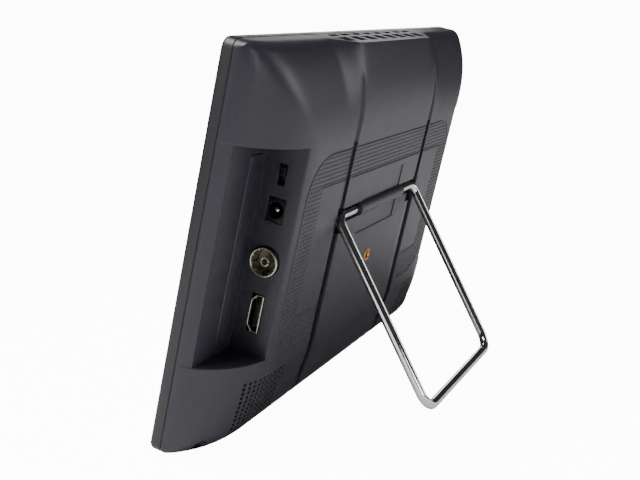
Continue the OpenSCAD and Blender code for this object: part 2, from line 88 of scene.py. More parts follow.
# ---- Back details ----
BAY_U = 86.0
BAY_LOW = 36.3
BAY_HIGH = 116.3
BAY_FLOOR = 10.4
BAY_WALL = 1.8
BAY_RIM = 0.6
STRIP_U = (90.0, 98.5)
STRIP_V = (41.0, 111.0)
CHANNEL_LOW_U = 41.5
CHANNEL_HIGH_U = 46.9
CHANNEL_FLOOR = 23.2
CHANNEL_BACK = 1.6
CHANNEL_START_V = -5.0
CHANNEL_TOP_V = 87.2
CHANNEL_RIM = 0.5
UPPER_FLOOR = 25.4
UPPER_STEP = 0.6
UPPER_START_V = 80.0
UPPER_FLAT_V = 114.0
UPPER_END_V = 139.5
UPPER_CUT_R = 2.7
BAR_HALF = 25.0
BAR_R = 3.1
PIVOT_POCKET_V = (80.8, 86.8)
LEG_POCKET_V = 76.5
POCKET_END = 2.0
RECESS_U = 21.5
RECESS_LOW = 72.5
RECESS_HIGH = 96.5
RECESS_DEPTH = 0.35
RING_U = 81.4
RING_LOW = 35.6
RING_HIGH = 112.0
RING_IN_U = 68.6
RING_IN_LOW = 48.8
RING_IN_HIGH = 99.6
RING_R = 16.0
RIB_PITCH = 1.66
RIB_DEPTH = 0.2
RIB_GROOVE = 0.9
RIB_GROOVE_FLOOR = 0.74
GROOVE_SLOPE = 0.16
DOT_PITCH = 2.3
DOT_GAP = 0.55
DOT_GAP_TOP = 0.71
BORDER_R = 0.42
BORDER_LIFT = 0.05
GRILLE_U = 68
GRILLE_V = 8
GRILLE_STEP_U = 2.7
GRILLE_STEP_V = 1.85
GRILLE_COLS = 11
GRILLE_ROWS = 12
GRILLE_HOLE_R = 0.72
VENT_COUNT = 8
VENT_PITCH = 11.6
VENT_HALF = 4.1
VENT_ROWS_W = ((10.2, 15.8), (6.0, 8.4))
SCREW_U = 105.5
SCREW_V = 4.5
SCREW_HEAD_R = 2.4
INSERT_V = 58.7
INSERT_R = 2.9

# ---- Front ----
SCREEN_HALF = 99.5
SCREEN_LOW = 22.5
SCREEN_HIGH = 135.5
SCREEN_CORNER_R = 0.6
FRONT_LIP = 1.2
LENS_V = 10
LENS_HOLES = ((0, 3.0), (14, 1.2))

# ---- Sockets in the bays: windows as (low w, low v), (high w, high v) ----
PORT_W = 17.8
SWITCH_WINDOW = ((16.2, 100.7), (19.2, 108.3))
JACK_WINDOW = ((14.4, 86.9), (21.2, 96.1))
HDMI_WINDOW = ((15.3, 44.6), (20.6, 59.5))
CARD_WINDOW = ((16.3, 41.2), (19.1, 54.4))
USB_WINDOW = ((14.3, 57.2), (21.7, 70.8))
AERIAL_V = 72.1
AERIAL_WINDOW_R = 5.7
AERIAL_R = 5.45
AERIAL_BORE_R = 4.75
AERIAL_BACK = BAY_U - 6.2
AERIAL_SLIT_V = (71.88, 72.32)
AERIAL_SPRINGS = 10
AERIAL_SPRING_R = 4.35
JACK_V = 91.5
JACK_BORE_R = 2.9
HEADPHONE_V = 77.6
HEADPHONE_BORE_R = 1.8
HEADPHONE_R = 3.0
HEADPHONE_WINDOW_R = 3.1
HDMI_W = (15.5, 20.4)
HDMI_V = (44.8, 59.3)
HDMI_CUT = 1.9
HDMI_CONTACTS = 10
HDMI_CONTACT_V = 47.0
HDMI_CONTACT_PITCH = 1.12
KNOB_RIBS = 3
KNOB_RIB_V = 104.9
KEY_COUNT = 5
KEY_V = 88.5
KEY_PITCH = 5.6

# ---- Wire stand ----
WIRE_R = 1.95
LEG_U = 43.8
LEG_LENGTH = 82.2
LEG_OPEN = math.radians(40.52)
PIVOT_BEND = 4.6
FOOT_BEND = 7.0
STUB_END = 13.5
STUB_HOLE_U = (12.5, 27)
STUB_CLEARANCE = 0.1

# Half the gap between the two grid lines at a step in the back
EPS = 0.02


# ======================================================================
# Materials
# ======================================================================
def new_material(name):
    material = bpy.data.materials.new(name)
    material.use_nodes = True
    nodes = material.node_tree.nodes
    return material, nodes, material.node_tree.links, nodes["Principled BSDF"]


def noise(nodes, links, coords, scale, detail=3.0):
    texture = nodes.new("ShaderNodeTexNoise")
    texture.inputs["Scale"].default_value = scale
    texture.inputs["Detail"].default_value = detail
    links.new(coords.outputs["Object"], texture.inputs["Vector"])
    return texture.outputs["Fac"]


def ranged(nodes, links, value, low, high):
    spread = nodes.new("ShaderNodeMapRange")
    spread.inputs["From Min"].default_value = 0.3
    spread.inputs["From Max"].default_value = 0.7
    spread.inputs["To Min"].default_value = low
    spread.inputs["To Max"].default_value = high
    links.new(value, spread.inputs["Value"])
    return spread.outputs["Result"]


def mixed_colour(nodes, links, factor, first, second):
    mix = nodes.new("ShaderNodeMix")
    mix.data_type = "RGBA"
    mix.inputs["A"].default_value = (*first, 1)
    mix.inputs["B"].default_value = (*second, 1)
    links.new(factor, mix.inputs["Factor"])
    return mix


def edge_wear(nodes, links, radius, strength):
    """How far the surface bends within the radius: 0 on flats, up to strength on edges."""
    bevel = nodes.new("ShaderNodeBevel")
    bevel.samples = 4
    bevel.inputs["Radius"].default_value = radius
    geometry = nodes.new("ShaderNodeNewGeometry")
    dot = nodes.new("ShaderNodeVectorMath")
    dot.operation = "DOT_PRODUCT"
    links.new(bevel.outputs["Normal"], dot.inputs[0])
    links.new(geometry.outputs["Normal"], dot.inputs[1])
    spread = nodes.new("ShaderNodeMapRange")
    spread.inputs["From Min"].default_value = 1.0
    spread.inputs["From Max"].default_value = 0.75
    spread.inputs["To Min"].default_value = 0.0
    spread.inputs["To Max"].default_value = strength
    links.new(dot.outputs["Value"], spread.inputs["Value"])
    return bevel, spread.outputs["Result"]


BUMP_DEPTH = 0.00003
PATCH_SCALE = 35.0


def finish(name, colour, roughness, metallic=0.0, variation=0.12, grain=2500.0, bump=0.15,
           wear=0.25, wear_radius=0.0003, specular=0.5, coat=0.0, unevenness=0.12):
    """One procedural finish: patchy colour, uneven roughness, fine grain, lighter worn edges."""
    material, nodes, links, shader = new_material(name)
    coords = nodes.new("ShaderNodeTexCoord")
    darker = tuple(channel * (1 - variation) for channel in colour)
    lighter = tuple(min(channel * (1 + variation), 1) for channel in colour)
    patches = noise(nodes, links, coords, PATCH_SCALE)
    body = mixed_colour(nodes, links, patches, darker, lighter)
    bevel, worn = edge_wear(nodes, links, wear_radius, wear)
    worn_mix = nodes.new("ShaderNodeMix")
    worn_mix.data_type = "RGBA"
    links.new(worn, worn_mix.inputs["Factor"])
    links.new(body.outputs["Result"], worn_mix.inputs["A"])
    paler = (min(channel * 1.9 + 0.02, 1) for channel in colour)
    worn_mix.inputs["B"].default_value = (*paler, 1)
    links.new(worn_mix.outputs["Result"], shader.inputs["Base Color"])
    smudges = noise(nodes, links, coords, PATCH_SCALE * 3)
    smooth_end, rough_end = roughness * (1 - unevenness), min(roughness * (1 + unevenness), 1)
    links.new(ranged(nodes, links, smudges, smooth_end, rough_end), shader.inputs["Roughness"])
    shader.inputs["Metallic"].default_value = metallic
    shader.inputs["Specular IOR Level"].default_value = specular
    shader.inputs["Coat Weight"].default_value = coat
    relief = nodes.new("ShaderNodeBump")
    relief.inputs["Strength"].default_value = bump
    relief.inputs["Distance"].default_value = BUMP_DEPTH
    links.new(noise(nodes, links, coords, grain, 2.0), relief.inputs["Height"])
    links.new(bevel.outputs["Normal"], relief.inputs["Normal"])
    links.new(relief.outputs["Normal"], shader.inputs["Normal"])
    return material


def clear_glass(name, tint):
    material = finish(name, tint, 0.08, wear=0.05, variation=0.05)
    shader = material.node_tree.nodes["Principled BSDF"]
    shader.inputs["Transmission Weight"].default_value = 0.6
    return material


def make_finishes():
    """A finish for every material slot of the record."""
    return {
        "case_plastic": finish("case_plastic", (0.025, 0.0238, 0.035), 0.38, wear=0.12,
                               wear_radius=0.00025, bump=0.3, variation=0.05, unevenness=0.03),
        "bezel_plastic": finish("bezel_plastic", (0.020, 0.0195, 0.023), 0.36, wear=0.12),
        "screen_black": finish("screen_black", (0.006, 0.006, 0.008), 0.06, coat=0.4, wear=0.1),
        "diffuser_white": finish("diffuser_white", (0.82, 0.82, 0.80), 0.6),
        "pressed_steel": finish("pressed_steel", (0.52, 0.52, 0.54), 0.34, metallic=1.0),
        "chrome_wire": finish("chrome_wire", (0.86, 0.86, 0.88), 0.07, metallic=1.0,
                              variation=0.04, bump=0.03, wear=0.05),
        "black_foam": finish("black_foam", (0.02, 0.02, 0.02), 0.95, bump=0.8, grain=900),
        "screw_steel": finish("screw_steel", (0.55, 0.55, 0.57), 0.28, metallic=1.0),
        "screw_black": finish("screw_black", (0.03, 0.03, 0.032), 0.35, metallic=0.6),
        "board_green": finish("board_green", (0.02, 0.16, 0.06), 0.42),
        "can_tin": finish("can_tin", (0.62, 0.62, 0.62), 0.3, metallic=1.0),
        "chip_black": finish("chip_black", (0.018, 0.018, 0.02), 0.5),
        "heatsink_alloy": finish("heatsink_alloy", (0.5, 0.5, 0.52), 0.4, metallic=1.0),
        "can_sleeve": finish("can_sleeve", (0.03, 0.04, 0.12), 0.3),
        "ferrite": finish("ferrite", (0.06, 0.058, 0.055), 0.55),
        "ribbon_film": finish("ribbon_film", (0.35, 0.16, 0.04), 0.3),
        "cell_wrap": finish("cell_wrap", (0.04, 0.12, 0.32), 0.32),
        "nylon_white": finish("nylon_white", (0.78, 0.77, 0.72), 0.5),
        "nickel": finish("nickel", (0.68, 0.65, 0.53), 0.24, metallic=1.0, wear=0.3),
        "insulator_cream": finish("insulator_cream", (0.24, 0.23, 0.17), 0.4),
        "socket_black": finish("socket_black", (0.006, 0.006, 0.007), 0.36, wear=0.1,
                               specular=0.25),
        "key_plastic": finish("key_plastic", (0.022, 0.022, 0.026), 0.4, wear=0.3),
        "cone_paper": finish("cone_paper", (0.05, 0.05, 0.05), 0.85, bump=0.5, grain=1200),
        "lens_dark": clear_glass("lens_dark", (0.04, 0.006, 0.008)),
        "lens_clear": clear_glass("lens_clear", (0.7, 0.75, 0.7)),
        "brass": finish("brass", (0.85, 0.40, 0.08), 0.24, metallic=1.0, wear=0.4),
    }


FINISH = make_finishes()


def paint_cad():
    for part in RECORD["subparts"]:
        node = frame["nodes"][part["node"]]
        node.data.materials.clear()
        node.data.materials.append(FINISH[part["material_slot"]])


# ======================================================================
# Mesh helpers, all in case millimetres (u, w, v)
# ======================================================================
def shown(name, mesh_data, slot, body, nodes=(), crease=32):
    """Turns a bmesh or a mesh in case millimetres into a piece that rides on a body."""
    if isinstance(mesh_data, bmesh.types.BMesh):
        mesh = bpy.data.meshes.new(name)
        bmesh.ops.recalc_face_normals(mesh_data, faces=mesh_data.faces)
        mesh_data.to_mesh(mesh)
        mesh_data.free()
    else:
        mesh = mesh_data
        mesh.name = name
    mesh.transform(CASE)
    mesh.shade_smooth()
    mesh.set_sharp_from_angle(angle=math.radians(crease))
    mesh.materials.clear()
    mesh.materials.append(FINISH[slot])
    obj = bpy.data.objects.new(name, mesh)
    bpy.context.scene.collection.objects.link(obj)
    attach(obj, body)
    if nodes:
        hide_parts(*nodes)


def add_block(bm, low, high, ease=0.0, segments=2):
    """A block between two corners with eased edges."""
    matrix = Matrix.Translation((Vector(low) + Vector(high)) / 2) @ Matrix.Diagonal(
        (Vector(high) - Vector(low)).to_4d())
    matrix[3][3] = 1
    made = bmesh.ops.create_cube(bm, size=1, matrix=matrix)["verts"]
    if ease:
        edges = list({edge for vert in made for edge in vert.link_edges})
        bmesh.ops.bevel(bm, geom=edges, offset=ease, segments=segments, profile=0.5,
                        affect="EDGES", clamp_overlap=True)


def bridge(bm, first, second):
    """Joins two closed rings of as many points with a band of faces."""
    for i in range(len(first)):
        j = (i + 1) % len(first)
        bm.faces.new((first[i], first[j], second[j], second[i]))


def add_prism(bm, outline, start, end):
    """Extrudes a closed outline of (u, v) points from one depth to another."""
    rings = [[bm.verts.new((u, w, v)) for u, v in outline] for w in (start, end)]
    bm.faces.new(rings[0])
    bm.faces.new(list(reversed(rings[1])))
    bridge(bm, *rings)


def along_u(w, v):
    return lambda r, angle, t: (t, w + r * math.cos(angle), v + r * math.sin(angle))


def along_w(u, v):
    return lambda r, angle, t: (u + r * math.cos(angle), t, v + r * math.sin(angle))


def add_lathe(bm, place, profile, segments=48, closed=False):
    """Turns a profile of (radius, along) points about an axis; a radius of 0 ends on the axis."""
    rings = []
    for radius, along in profile:
        if radius == 0:
            rings.append([bm.verts.new(place(0, 0, along))])
        else:
            rings.append([bm.verts.new(place(radius, 2 * math.pi * i / segments, along))
                          for i in range(segments)])
    pairs = list(zip(rings, rings[1:])) + ([(rings[-1], rings[0])] if closed else [])
    for first, second in pairs:
        for i in range(segments):
            j = (i + 1) % segments
            corners = [first[i % len(first)], first[j % len(first)],
                       second[j % len(second)], second[i % len(second)]]
            unique = list(dict.fromkeys(corners))
            if len(unique) > 2:
                bm.faces.new(unique)


def eased(profile, radius, closed=False):
    """The profile with each inner corner replaced by a small curve."""
    points = [Vector(point) for point in profile]
    count = len(points)
    result = []
    for i, point in enumerate(points):
        if not closed and i in (0, count - 1):
            result.append(tuple(point))
            continue
        before, after = points[i - 1], points[(i + 1) % count]
        reach = min(radius, (before - point).length * 0.45, (after - point).length * 0.45)
        start = point + (before - point).normalized() * reach
        end = point + (after - point).normalized() * reach
        for t in (0, 0.25, 0.5, 0.75, 1):
            result.append(tuple(start * (1 - t) ** 2 + 2 * point * t * (1 - t) + end * t * t))
    return result


def rounded_rect(half_u, low, high, radius, steps=8):
    """Outline points (u, v) of a rectangle with rounded corners, anticlockwise."""
    points = []
    centres = ((half_u - radius, low + radius, -90), (half_u - radius, high - radius, 0),
               (-half_u + radius, high - radius, 90), (-half_u + radius, low + radius, 180))
    for u, v, start in centres:
        for i in range(steps + 1):
            angle = math.radians(start + 90 * i / steps)
            points.append((u + radius * math.cos(angle), v + radius * math.sin(angle)))
    return points


def add_tube(bm, path, radius, sides):
    """A round tube along a path of points, with the ends filled."""
    points = [Vector(point) for point in path]
    count = len(points)
    rings = []
    side = None
    for i, point in enumerate(points):
        heading = (points[min(i + 1, count - 1)] - points[max(i - 1, 0)]).normalized()
        if side is None:
            side = heading.orthogonal().normalized()
        side = (side - heading * side.dot(heading)).normalized()
        other = heading.cross(side)
        rings.append([bm.verts.new(point + radius * (side * math.cos(a) + other * math.sin(a)))
                      for a in (2 * math.pi * k / sides for k in range(sides))])
    for first, second in zip(rings, rings[1:]):
        bridge(bm, first, second)
    bm.faces.new(list(reversed(rings[0])))
    bm.faces.new(rings[-1])


def scratch(bm):
    """A working object made of a bmesh, for cutting and joining."""
    mesh = bpy.data.meshes.new("work")
    bmesh.ops.recalc_face_normals(bm, faces=bm.faces)
    bm.to_mesh(mesh)
    bm.free()
    obj = bpy.data.objects.new("work", mesh)
    bpy.context.scene.collection.objects.link(obj)
    return obj


def combine(target, tool, operation):
    """Cuts the target, joins it or keeps what it shares with the tool, which is discarded."""
    modifier = target.modifiers.new("combine", "BOOLEAN")
    modifier.operation = operation
    modifier.solver = "MANIFOLD"
    modifier.object = tool
    graph = bpy.context.evaluated_depsgraph_get()
    mesh = bpy.data.meshes.new_from_object(target.evaluated_get(graph))
    target.modifiers.clear()
    old = target.data
    target.data = mesh
    bpy.data.meshes.remove(old)
    discard(tool)


def discard(obj):
    mesh = obj.data
    bpy.data.objects.remove(obj)
    bpy.data.meshes.remove(mesh)


def cut(target, bm):
    combine(target, scratch(bm), "DIFFERENCE")


def taken(obj):
    """The mesh of a working object, which is discarded."""
    mesh = obj.data.copy()
    discard(obj)
    return mesh


def span_on(side, near, far):
    """Low and high u of a span on one side of the middle."""
    return sorted((side * near, side * far))


def rod(radius, start, end):
    """Lathe profile of a plain round rod."""
    return [(0, start), (radius, start), (radius, end), (0, end)]


# ======================================================================
# Rear cover
# ======================================================================
def fall(distance, radius):
    """How far a circle of that radius falls below its top at a distance from it."""
    reach = min(max(distance, 0.0), radius)
    return radius - math.sqrt(radius * radius - reach * reach)


def blend_drop(first, second, power):
    """Two falls joined with a rounded edge, sharper for a higher power."""
    if first <= 0 or second <= 0:
        return max(first, second)
    return (first ** power + second ** power) ** (1 / power)


def smooth(low, high, value):
    """0 at the low end and 1 at the high end, with no slope at either."""
    t = min(max((value - low) / (high - low), 0.0), 1.0)
    return t * t * (3 - 2 * t)


def crown_w(v):
    """The sides' crown."""
    return DEPTH - fall(v - CROWN_V, CROWN_R)


def hump_w(v):
    """The raised middle's longer, flatter crown."""
    return DEPTH - fall(v - HUMP_V, HUMP_R)


SHOULDER_V = HEIGHT - SHOULDER_R
SHOULDER_W = DEPTH - CROWN_R + math.sqrt(
    (CROWN_R - SHOULDER_R) ** 2 - (SHOULDER_V - CROWN_V) ** 2)
SHOULDER_JOIN_V = CROWN_V + CROWN_R * (SHOULDER_V - CROWN_V) / (CROWN_R - SHOULDER_R)


def top_drop(u, v):
    """Fall of the crown and the shoulder, less where the middle is raised."""
    side = crown_w(v)
    if v > SHOULDER_JOIN_V:
        reach = min(max(v - SHOULDER_V, 0.0), SHOULDER_R)
        side = SHOULDER_W + math.sqrt(SHOULDER_R ** 2 - reach * reach)
    raised = 1 - smooth(HUMP_TOP_U, HUMP_FOOT_U, abs(u))
    return DEPTH - (side + (hump_w(v) - side) * raised)


def bottom_drop(v):
    """Fall of the belly and the rounded toe below it."""
    if v < TOE_R:
        return DEPTH - TOE_W - math.sqrt(max(TOE_R ** 2 - (TOE_R - v) ** 2, 0.0))
    return TOE_DROP * max((BELLY_V - v) / (BELLY_V - TOE_R), 0.0) ** BELLY_POWER


def form_w(u, v):
    """The plain outer form of the back."""
    side = fall(abs(u) - CHEEK_U, CHEEK_R) + fall(abs(u) - HALF_U + EDGE_R, EDGE_R)
    if v < HEIGHT / 2:
        drop = blend_drop(side, bottom_drop(v), CORNER_POWER_LOW)
    else:
        drop = blend_drop(side, top_drop(u, v), CORNER_POWER_HIGH)
    return max(DEPTH - drop, BEZEL_W + LEAST_RISE)


UPPER_LOW_U = CHANNEL_LOW_U + UPPER_STEP
UPPER_HIGH_U = CHANNEL_HIGH_U - UPPER_STEP
LEG_POCKET_U = LEG_U - PIVOT_BEND - 2.6
POCKET_HIGH_U = CHANNEL_HIGH_U - POCKET_END
# Low u, high u, low v, high v and floor
POCKETS = (
    (CHANNEL_LOW_U, CHANNEL_HIGH_U, CHANNEL_START_V, CHANNEL_TOP_V, CHANNEL_FLOOR),
    (UPPER_LOW_U, UPPER_HIGH_U, UPPER_START_V, UPPER_FLAT_V, UPPER_FLOOR),
    (BAR_HALF, POCKET_HIGH_U, *PIVOT_POCKET_V, CHANNEL_FLOOR),
    (LEG_POCKET_U, POCKET_HIGH_U, LEG_POCKET_V, PIVOT_POCKET_V[1], CHANNEL_FLOOR),
)
# Low u, high u, low v, high v and radius; a bay runs on past the case's side
EASED_RIMS = (
    (BAY_U, 140.0, BAY_LOW, BAY_HIGH, BAY_RIM),
    (CHANNEL_LOW_U, CHANNEL_HIGH_U, CHANNEL_START_V, CHANNEL_TOP_V, CHANNEL_RIM),
)


def rim_drop(u, v, rim):
    """Rounds the surface over the rim of a cut."""
    low_u, high_u, low_v, high_v, radius = rim
    out_u = max(low_u - u, u - high_u, 0.0)
    out_v = max(low_v - v, v - high_v, 0.0)
    distance = math.hypot(out_u, out_v)
    return fall(radius - distance, radius) if distance < radius else 0.0


def in_ring(u, v, shrink):
    """True inside the ribbed ring's outer outline, drawn in a little."""
    if u > RING_U - shrink or not RING_LOW + shrink < v < RING_HIGH - shrink:
        return False
    radius = RING_R - shrink
    over_u = u - (RING_U - RING_R)
    over_v = max(v - (RING_HIGH - RING_R), RING_LOW + RING_R - v)
    return over_u <= 0 or over_v <= 0 or math.hypot(over_u, over_v) < radius


def groove(position, end):
    """1 in the floor of a groove from 0 to its end, 0 outside it, with sloping sides."""
    return min(max(min(position / GROOVE_SLOPE, (end - position) / GROOVE_SLOPE), 0.0), 1.0)


def ring_depth(u, v):
    """Depth of the ring's ribs and dots below the back."""
    if not in_ring(u, v, 0.7):
        return 0.0
    if u < RING_IN_U and RING_IN_LOW - 0.5 < v < RING_IN_HIGH + 0.5:
        return 0.0
    if u < CHANNEL_LOW_U and v < HEIGHT / 2:
        return 0.0
    depth = RIB_DEPTH * groove((v - RING_LOW) % RIB_PITCH, RIB_GROOVE)
    if u > RING_IN_U and v < RING_IN_HIGH:
        depth *= groove((u - RING_IN_U) % DOT_PITCH, DOT_PITCH - DOT_GAP)
    return depth


def back_w(u, v):
    """Height of the finished back over a point, with channels, recess, bar and ribs."""
    u = abs(u)
    w = form_w(u, v)
    for rim in EASED_RIMS:
        w -= rim_drop(u, v, rim)
    if u < RECESS_U and RECESS_LOW < v < RECESS_HIGH:
        w -= RECESS_DEPTH
    w -= ring_depth(u, v)
    for low_u, high_u, low_v, high_v, floor in POCKETS:
        if low_u < u < high_u and low_v < v < high_v:
            w = min(w, floor)
    if u < BAR_HALF and abs(v - PIVOT_V) < BAR_R:
        w = max(w, PIVOT_W + math.sqrt(BAR_R ** 2 - (v - PIVOT_V) ** 2))
    return w


def spread(start, end, count):
    """The ends and the points that part the way between them into so many steps."""
    return [start + (end - start) * i / count for i in range(count + 1)]


def edges_at(*places):
    """A grid line close to each side of every place where the back steps."""
    return [place + step for place in places for step in (-EPS, EPS)]


def rim_lines(place, radius, outward):
    """Grid lines over an eased rim."""
    return [place + outward * radius * (1 - math.cos(math.radians(a))) for a in (25, 50, 70, 90)]


def sorted_lines(lines, low, high):
    """The lines in order, without those outside the ends or too close to the one before."""
    kept = []
    for line in sorted(lines):
        if low <= line <= high and (not kept or line - kept[-1] > EPS * 0.9):
            kept.append(line)
    return kept


def grid_us():
    """The back's grid lines across u, closer together where there is detail."""
    half = spread(0, RECESS_U - 1, 4) + edges_at(RECESS_U, BAR_HALF, LEG_POCKET_U)
    half += spread(28, 35, 2) + edges_at(CHANNEL_LOW_U, UPPER_LOW_U)
    half += edges_at(POCKET_HIGH_U, UPPER_HIGH_U, CHANNEL_HIGH_U)
    half += rim_lines(CHANNEL_LOW_U, CHANNEL_RIM, -1) + rim_lines(CHANNEL_HIGH_U, CHANNEL_RIM, 1)
    half += spread(48.5, RING_IN_U - 0.4, 16)
    column = RING_IN_U
    while column < RING_U:
        half += [column, column + GROOVE_SLOPE, column + DOT_PITCH - DOT_GAP_TOP,
                 column + DOT_PITCH - DOT_GAP]
        column += DOT_PITCH
    half += spread(RING_U, BAY_U - 1, 4) + [BAY_U] + rim_lines(BAY_U, BAY_RIM, -1)
    start = math.asin((BAY_U - CHEEK_U) / CHEEK_R)
    stop = math.asin((HALF_U - CHEEK_U) / CHEEK_R)
    half += [CHEEK_U + CHEEK_R * math.sin(a) for a in spread(start, stop, 26)[1:-1]]
    half += [HALF_U]
    half += [HALF_U - EDGE_R + EDGE_R * math.sin(a) for a in spread(0, math.pi / 2, 8)]
    half = sorted_lines(half, 0, HALF_U)
    return [-u for u in reversed(half[1:])] + half


def grid_vs():
    """The back's grid lines up v."""
    lines = [TOE_R * (1 - math.cos(a)) for a in spread(0, math.pi / 2, 18)]
    lines += spread(TOE_R, RING_LOW - 1, 14)
    row = RING_LOW
    while row < RING_HIGH:
        lines += [row, row + GROOVE_SLOPE, row + RIB_GROOVE_FLOOR, row + RIB_GROOVE]
        row += RIB_PITCH
    lines += edges_at(RECESS_LOW, RECESS_HIGH, LEG_POCKET_V, UPPER_START_V, *PIVOT_POCKET_V,
                      CHANNEL_TOP_V, UPPER_FLAT_V)
    lines += [PIVOT_V + BAR_R * math.sin(a) for a in spread(-1.5, 1.5, 14)]
    lines += edges_at(PIVOT_V - BAR_R, PIVOT_V + BAR_R)
    lines += [BAY_LOW, BAY_HIGH]
    lines += rim_lines(BAY_LOW, BAY_RIM, -1) + rim_lines(BAY_HIGH, BAY_RIM, 1)
    lines += spread(RING_HIGH + 1, SHOULDER_V, 26)
    lines += [SHOULDER_V + SHOULDER_R * math.sin(a) for a in spread(0, math.pi / 2, 14)]
    return sorted_lines(lines, 0, HEIGHT)


def add_form(bm, us, vs, height, floor_w, chamfer=0.0):
    """A closed solid between a floor plane and the height over a grid of u and v lines."""
    top = [[bm.verts.new((u, height(u, v), v)) for u in us] for v in vs]
    for upper, lower in zip(top[1:], top):
        for i in range(len(us) - 1):
            bm.faces.new((lower[i], upper[i], upper[i + 1], lower[i + 1]))
    rim = top[0][:-1] + [row[-1] for row in top[:-1]]
    rim += top[-1][:0:-1] + [row[0] for row in top[:0:-1]]
    levels = [(floor_w + chamfer, 0.0), (floor_w, chamfer)] if chamfer else [(floor_w, 0.0)]
    previous = rim
    for level, inset in levels:
        ring = []
        for vert in rim:
            u = max(min(vert.co.x, us[-1] - inset), us[0] + inset)
            v = max(min(vert.co.z, vs[-1] - inset), vs[0] + inset)
            ring.append(bm.verts.new((u, level, v)))
        bridge(bm, previous, ring)
        previous = ring
    bm.faces.new(previous)


def cut_corners(bm):
    """The slivers outside the rounded corners of the case."""
    reach = OUTLINE_R
    for su in (-1, 1):
        for low in (True, False):
            base_v = 0 if low else HEIGHT
            sv = 1 if low else -1
            centre = (su * (HALF_U - reach), base_v + sv * reach)
            arc = [(centre[0] + su * reach * math.sin(a), centre[1] - sv * reach * math.cos(a))
                   for a in spread(0, math.pi / 2, 8)]
            far = [(su * (HALF_U + 3), centre[1]), (su * (HALF_U + 3), base_v - sv * 3),
                   (centre[0], base_v - sv * 3)]
            add_prism(bm, arc + far, -2, DEPTH + 4)


def inner_form():
    """The hollow inside the cover's outer wall."""
    bm = bmesh.new()
    us = spread(-HALF_U + WALL, HALF_U - WALL, 60)
    vs = spread(WALL, HEIGHT - WALL, 50)
    add_form(bm, us, vs, lambda u, v: form_w(u * 1.015, v) - WALL, BEZEL_W - 2)
    return scratch(bm)


def inside_walls():
    """Walls of the bays, backs of the channels, the pivot block and the insert's boss."""
    tools = bmesh.new()
    back = CHANNEL_FLOOR - CHANNEL_BACK
    for side in (-1, 1):
        low_u, high_u = span_on(side, BAY_U - BAY_WALL, HALF_U + 2)
        add_block(tools, (low_u, BAY_FLOOR - BAY_WALL, BAY_LOW - BAY_WALL),
                  (high_u, DEPTH + 5, BAY_HIGH + BAY_WALL))
    add_block(tools, (-CHANNEL_HIGH_U - 2, back, 55), (CHANNEL_HIGH_U + 2, DEPTH + 5, 91))
    for side in (-1, 1):
        low_u, high_u = span_on(side, CHANNEL_LOW_U - 2, CHANNEL_HIGH_U + 2)
        add_block(tools, (low_u, back, -3), (high_u, DEPTH + 5, 54.9))
    return scratch(tools)


def ring_outline_path():
    """The ring's border line on the surface, open at the bottom between the channels."""
    points = rounded_rect(RING_U, RING_LOW, RING_HIGH, RING_R, 12)
    dense = []
    for (u0, v0), (u1, v1) in zip(points, points[1:] + points[:1]):
        steps = max(int(math.hypot(u1 - u0, v1 - v0) / 3), 1)
        dense += [(u0 + (u1 - u0) * i / steps, v0 + (v1 - v0) * i / steps)
                  for i in range(steps)]
    kept = [v > HEIGHT / 2 or abs(u) > CHANNEL_LOW_U for u, v in dense]
    first = next(i for i in range(len(dense)) if kept[i] and not kept[i - 1])
    order = list(range(first, len(dense))) + list(range(first))
    return [(dense[i][0], form_w(*dense[i]) + BORDER_LIFT, dense[i][1])
            for i in order if kept[i]]


def cut_bays(bm):
    for side in (-1, 1):
        low_u, high_u = span_on(side, BAY_U, HALF_U + 8)
        add_block(bm, (low_u, BAY_FLOOR, BAY_LOW), (high_u, DEPTH + 8, BAY_HIGH))


def key_places():
    return [KEY_V + KEY_PITCH * i for i in range(KEY_COUNT)]


def cut_windows(bm):
    """Openings for the switch, the sockets and the keys in the bays' walls."""
    def window(span, low, high):
        add_block(bm, (span[0], *low), (span[1], *high))

    near = (BAY_U - 4, BAY_U + 1)
    window(near, *SWITCH_WINDOW)
    window(near, *JACK_WINDOW)
    add_lathe(bm, along_u(PORT_W, AERIAL_V), rod(AERIAL_WINDOW_R, *near))
    window(near, *HDMI_WINDOW)
    far = (-BAY_U - 1, -BAY_U + 4)
    window(far, *CARD_WINDOW)
    window(far, *USB_WINDOW)
    add_lathe(bm, along_u(PORT_W, HEADPHONE_V), rod(HEADPHONE_WINDOW_R, *far))
    for v in key_places():
        add_block(bm, (far[0], PORT_W - 2.8, v - 2.3), (far[1], PORT_W + 2.8, v + 2.3), 0.5)


def cut_round_holes(bm):
    """Grilles, case screw holes, the stand's pivot holes and the insert's hole."""
    for side in (-1, 1):
        for i in range(GRILLE_COLS):
            for j in range(GRILLE_ROWS):
                u = side * (GRILLE_U + GRILLE_STEP_U * i)
                v = GRILLE_V + GRILLE_STEP_V * j
                add_lathe(bm, along_w(u, v), rod(GRILLE_HOLE_R, 15, DEPTH + 2), 10)
        add_lathe(bm, along_w(side * SCREW_U, SCREW_V), rod(SCREW_HEAD_R, 9, 24), 32)
        add_lathe(bm, along_u(PIVOT_W, PIVOT_V),
                  rod(WIRE_R + STUB_CLEARANCE, *(side * u for u in STUB_HOLE_U)), 32)
    add_lathe(bm, along_w(0, INSERT_V), rod(INSERT_R, 19.6, DEPTH + 2), 48)


def cut_vents(bm):
    first = -VENT_PITCH * (VENT_COUNT - 1) / 2
    for i in range(VENT_COUNT):
        u = first + i * VENT_PITCH
        for low_w, high_w in VENT_ROWS_W:
            add_block(bm, (u - VENT_HALF, low_w, HEIGHT - 6),
                      (u + VENT_HALF, high_w, HEIGHT + 4), 0.5)


